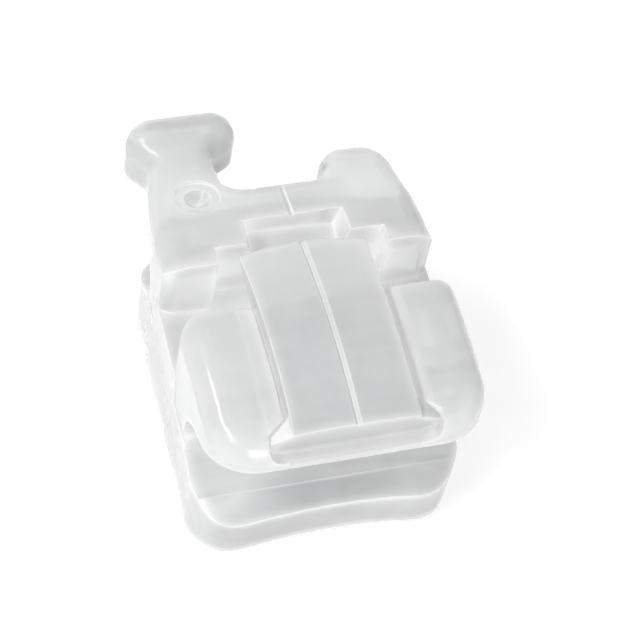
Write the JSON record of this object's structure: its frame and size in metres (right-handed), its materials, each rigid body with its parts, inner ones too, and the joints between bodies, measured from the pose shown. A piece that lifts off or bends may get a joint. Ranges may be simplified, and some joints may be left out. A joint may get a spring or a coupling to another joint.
{
  "type": "self-ligating orthodontic bracket",
  "caption": "Clear ceramic tooth bracket with a wire slot closed by a sliding door, tie wings, a gum-side hook and a concave grooved bonding pad.",
  "frame": {"origin": "under the middle of the wire slot, level with the two side rims of the bonding pad", "axes": "+X across the tooth, along the wire slot; +Y towards the gum, where the hook points; +Z away from the tooth, out of the wire slot"},
  "size_m": [0.0028, 0.0043, 0.0025],
  "materials": {
    "body_ceramic": "gloss",
    "door_ceramic": "gloss"
  },
  "bodies": {
    "body": {"bracket_body": "body_ceramic"},
    "door": {"sliding_door": "door_ceramic"}
  },
  "joints": [
    {"name": "door_slide", "type": "slide", "parent": "body", "child": "door", "axis": [0, -1, 0], "range_m": [0, 0.00072]}
  ]
}
